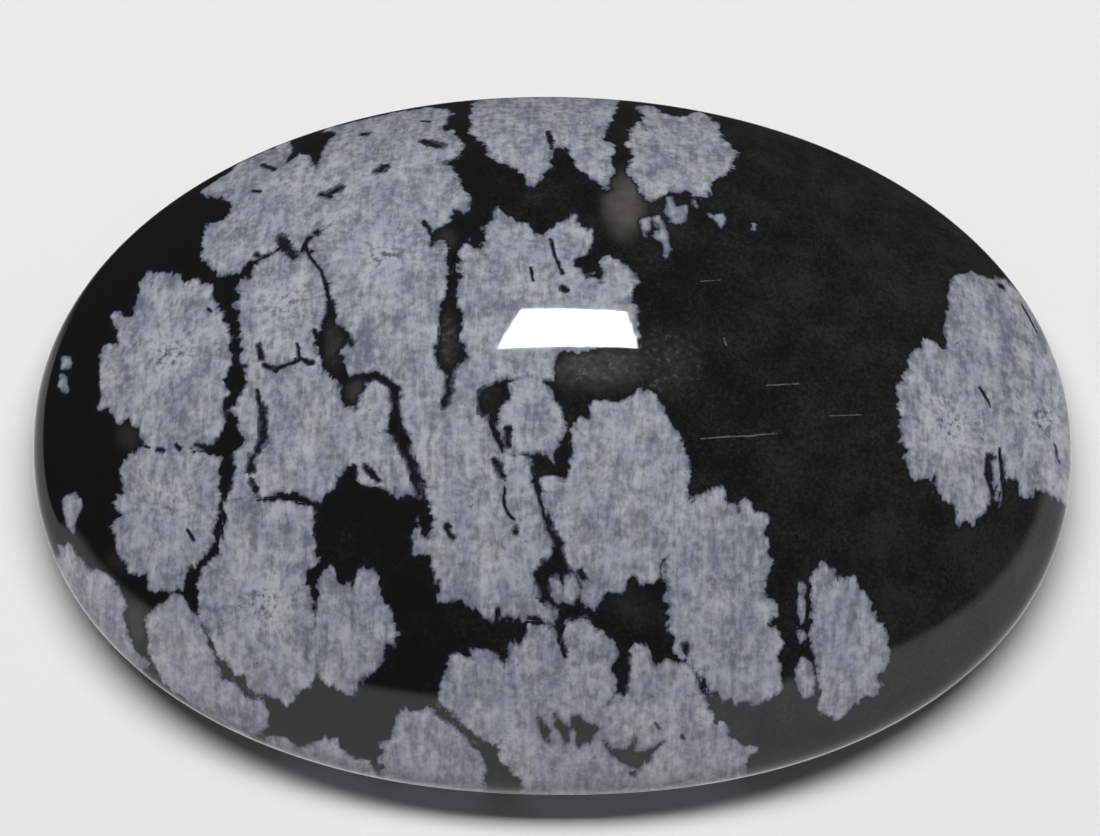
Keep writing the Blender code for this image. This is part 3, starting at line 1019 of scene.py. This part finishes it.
def addBounceCard():
    # a pale surround below a tilted edge, seen only in the polish: a sphere that glows where the
    # direction from the stone lies less than cardEdge above the tilted plane
    turns, levels = studio["cardSteps"]
    around, rise = np.meshgrid(np.linspace(0, 2 * pi, turns + 1)[:-1],
                               np.linspace(-pi / 2, pi / 2, levels + 1)[1:-1])
    ball = np.stack([np.cos(rise) * np.cos(around), np.cos(rise) * np.sin(around), np.sin(rise)], axis=-1)
    rows, columns = rise.shape
    index = np.arange(rows * columns).reshape(rows, columns)
    quads = np.stack([index[:-1], np.roll(index[:-1], -1, 1), np.roll(index[1:], -1, 1), index[1:]], axis=-1)
    card = addMesh("bounceCard", ball.reshape(-1, 3) * studio["cardRadius"], quads.reshape(-1, 4))
    material, tree, glow = glowMaterial("bounce card", studio["cardGlow"])
    start = Wire(tree)
    place = start.node("ShaderNodeTexCoord", output=3).scaled(1 / (studio["cardRadius"] * mm))
    tilt = radians(studio["cardTilt"])
    height = place.node("ShaderNodeVectorMath", {"operation": "DOT_PRODUCT"},
                        {0: place, 1: (0.0, sin(tilt), cos(tilt))}, 1)
    along, across = place.part(0), place.part(1)
    over = height - along.maths("ABSOLUTE", along) * studio["cardFlare"] - studio["cardEdge"]
    over = over + along.maths("LESS_THAN", along, 0.0) * across.step(*studio["cardDipSoft"]) * studio["cardDip"]
    below = 1 - over.step(-studio["cardSoft"], studio["cardSoft"])
    shown = below * (1 - across.step(*studio["cardEnds"]))
    tree.links.new(shown.mix(studio["cardDark"], studio["cardPale"]).socket, glow.inputs["Color"])
    card.data.materials.append(material)
    card.visible_camera = card.visible_diffuse = card.visible_shadow = card.visible_transmission = False


def addSky():
    world = bpy.data.worlds.new("studio")
    bpy.context.scene.world = world
    world.use_nodes = True
    background = world.node_tree.nodes["Background"]
    background.inputs["Color"].default_value = (*studio["skyColour"], 1.0)
    background.inputs["Strength"].default_value = studio["skyStrength"]


points, skins, quads, triangles = stoneSurface()
cabochon = addMesh("polishedStone", points, quads, triangles)
cabochon.data.set_sharp_from_angle(angle=radians(stone["crease"]))
print("stone surface:", len(points), "vertices,", 2 * len(quads) + len(triangles), "triangles")
paintFlakes(cabochon, skins)
cabochon.data.materials.append(obsidianMaterial())
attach(cabochon, "root")
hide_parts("cabochon")
print("snowflakes:", len(flakes), "outlines and", len(cracks), "cracks")

addCamera()
floor = addFloor()
addPanel("stonePanel", cabochon)
addPanel("floorPanel", floor)
addSoftbox(cabochon)
addBounceCard()
addSky()
bpy.context.scene.view_settings.view_transform = "Standard"
print("studio: floor, softbox, bounce card and sky")
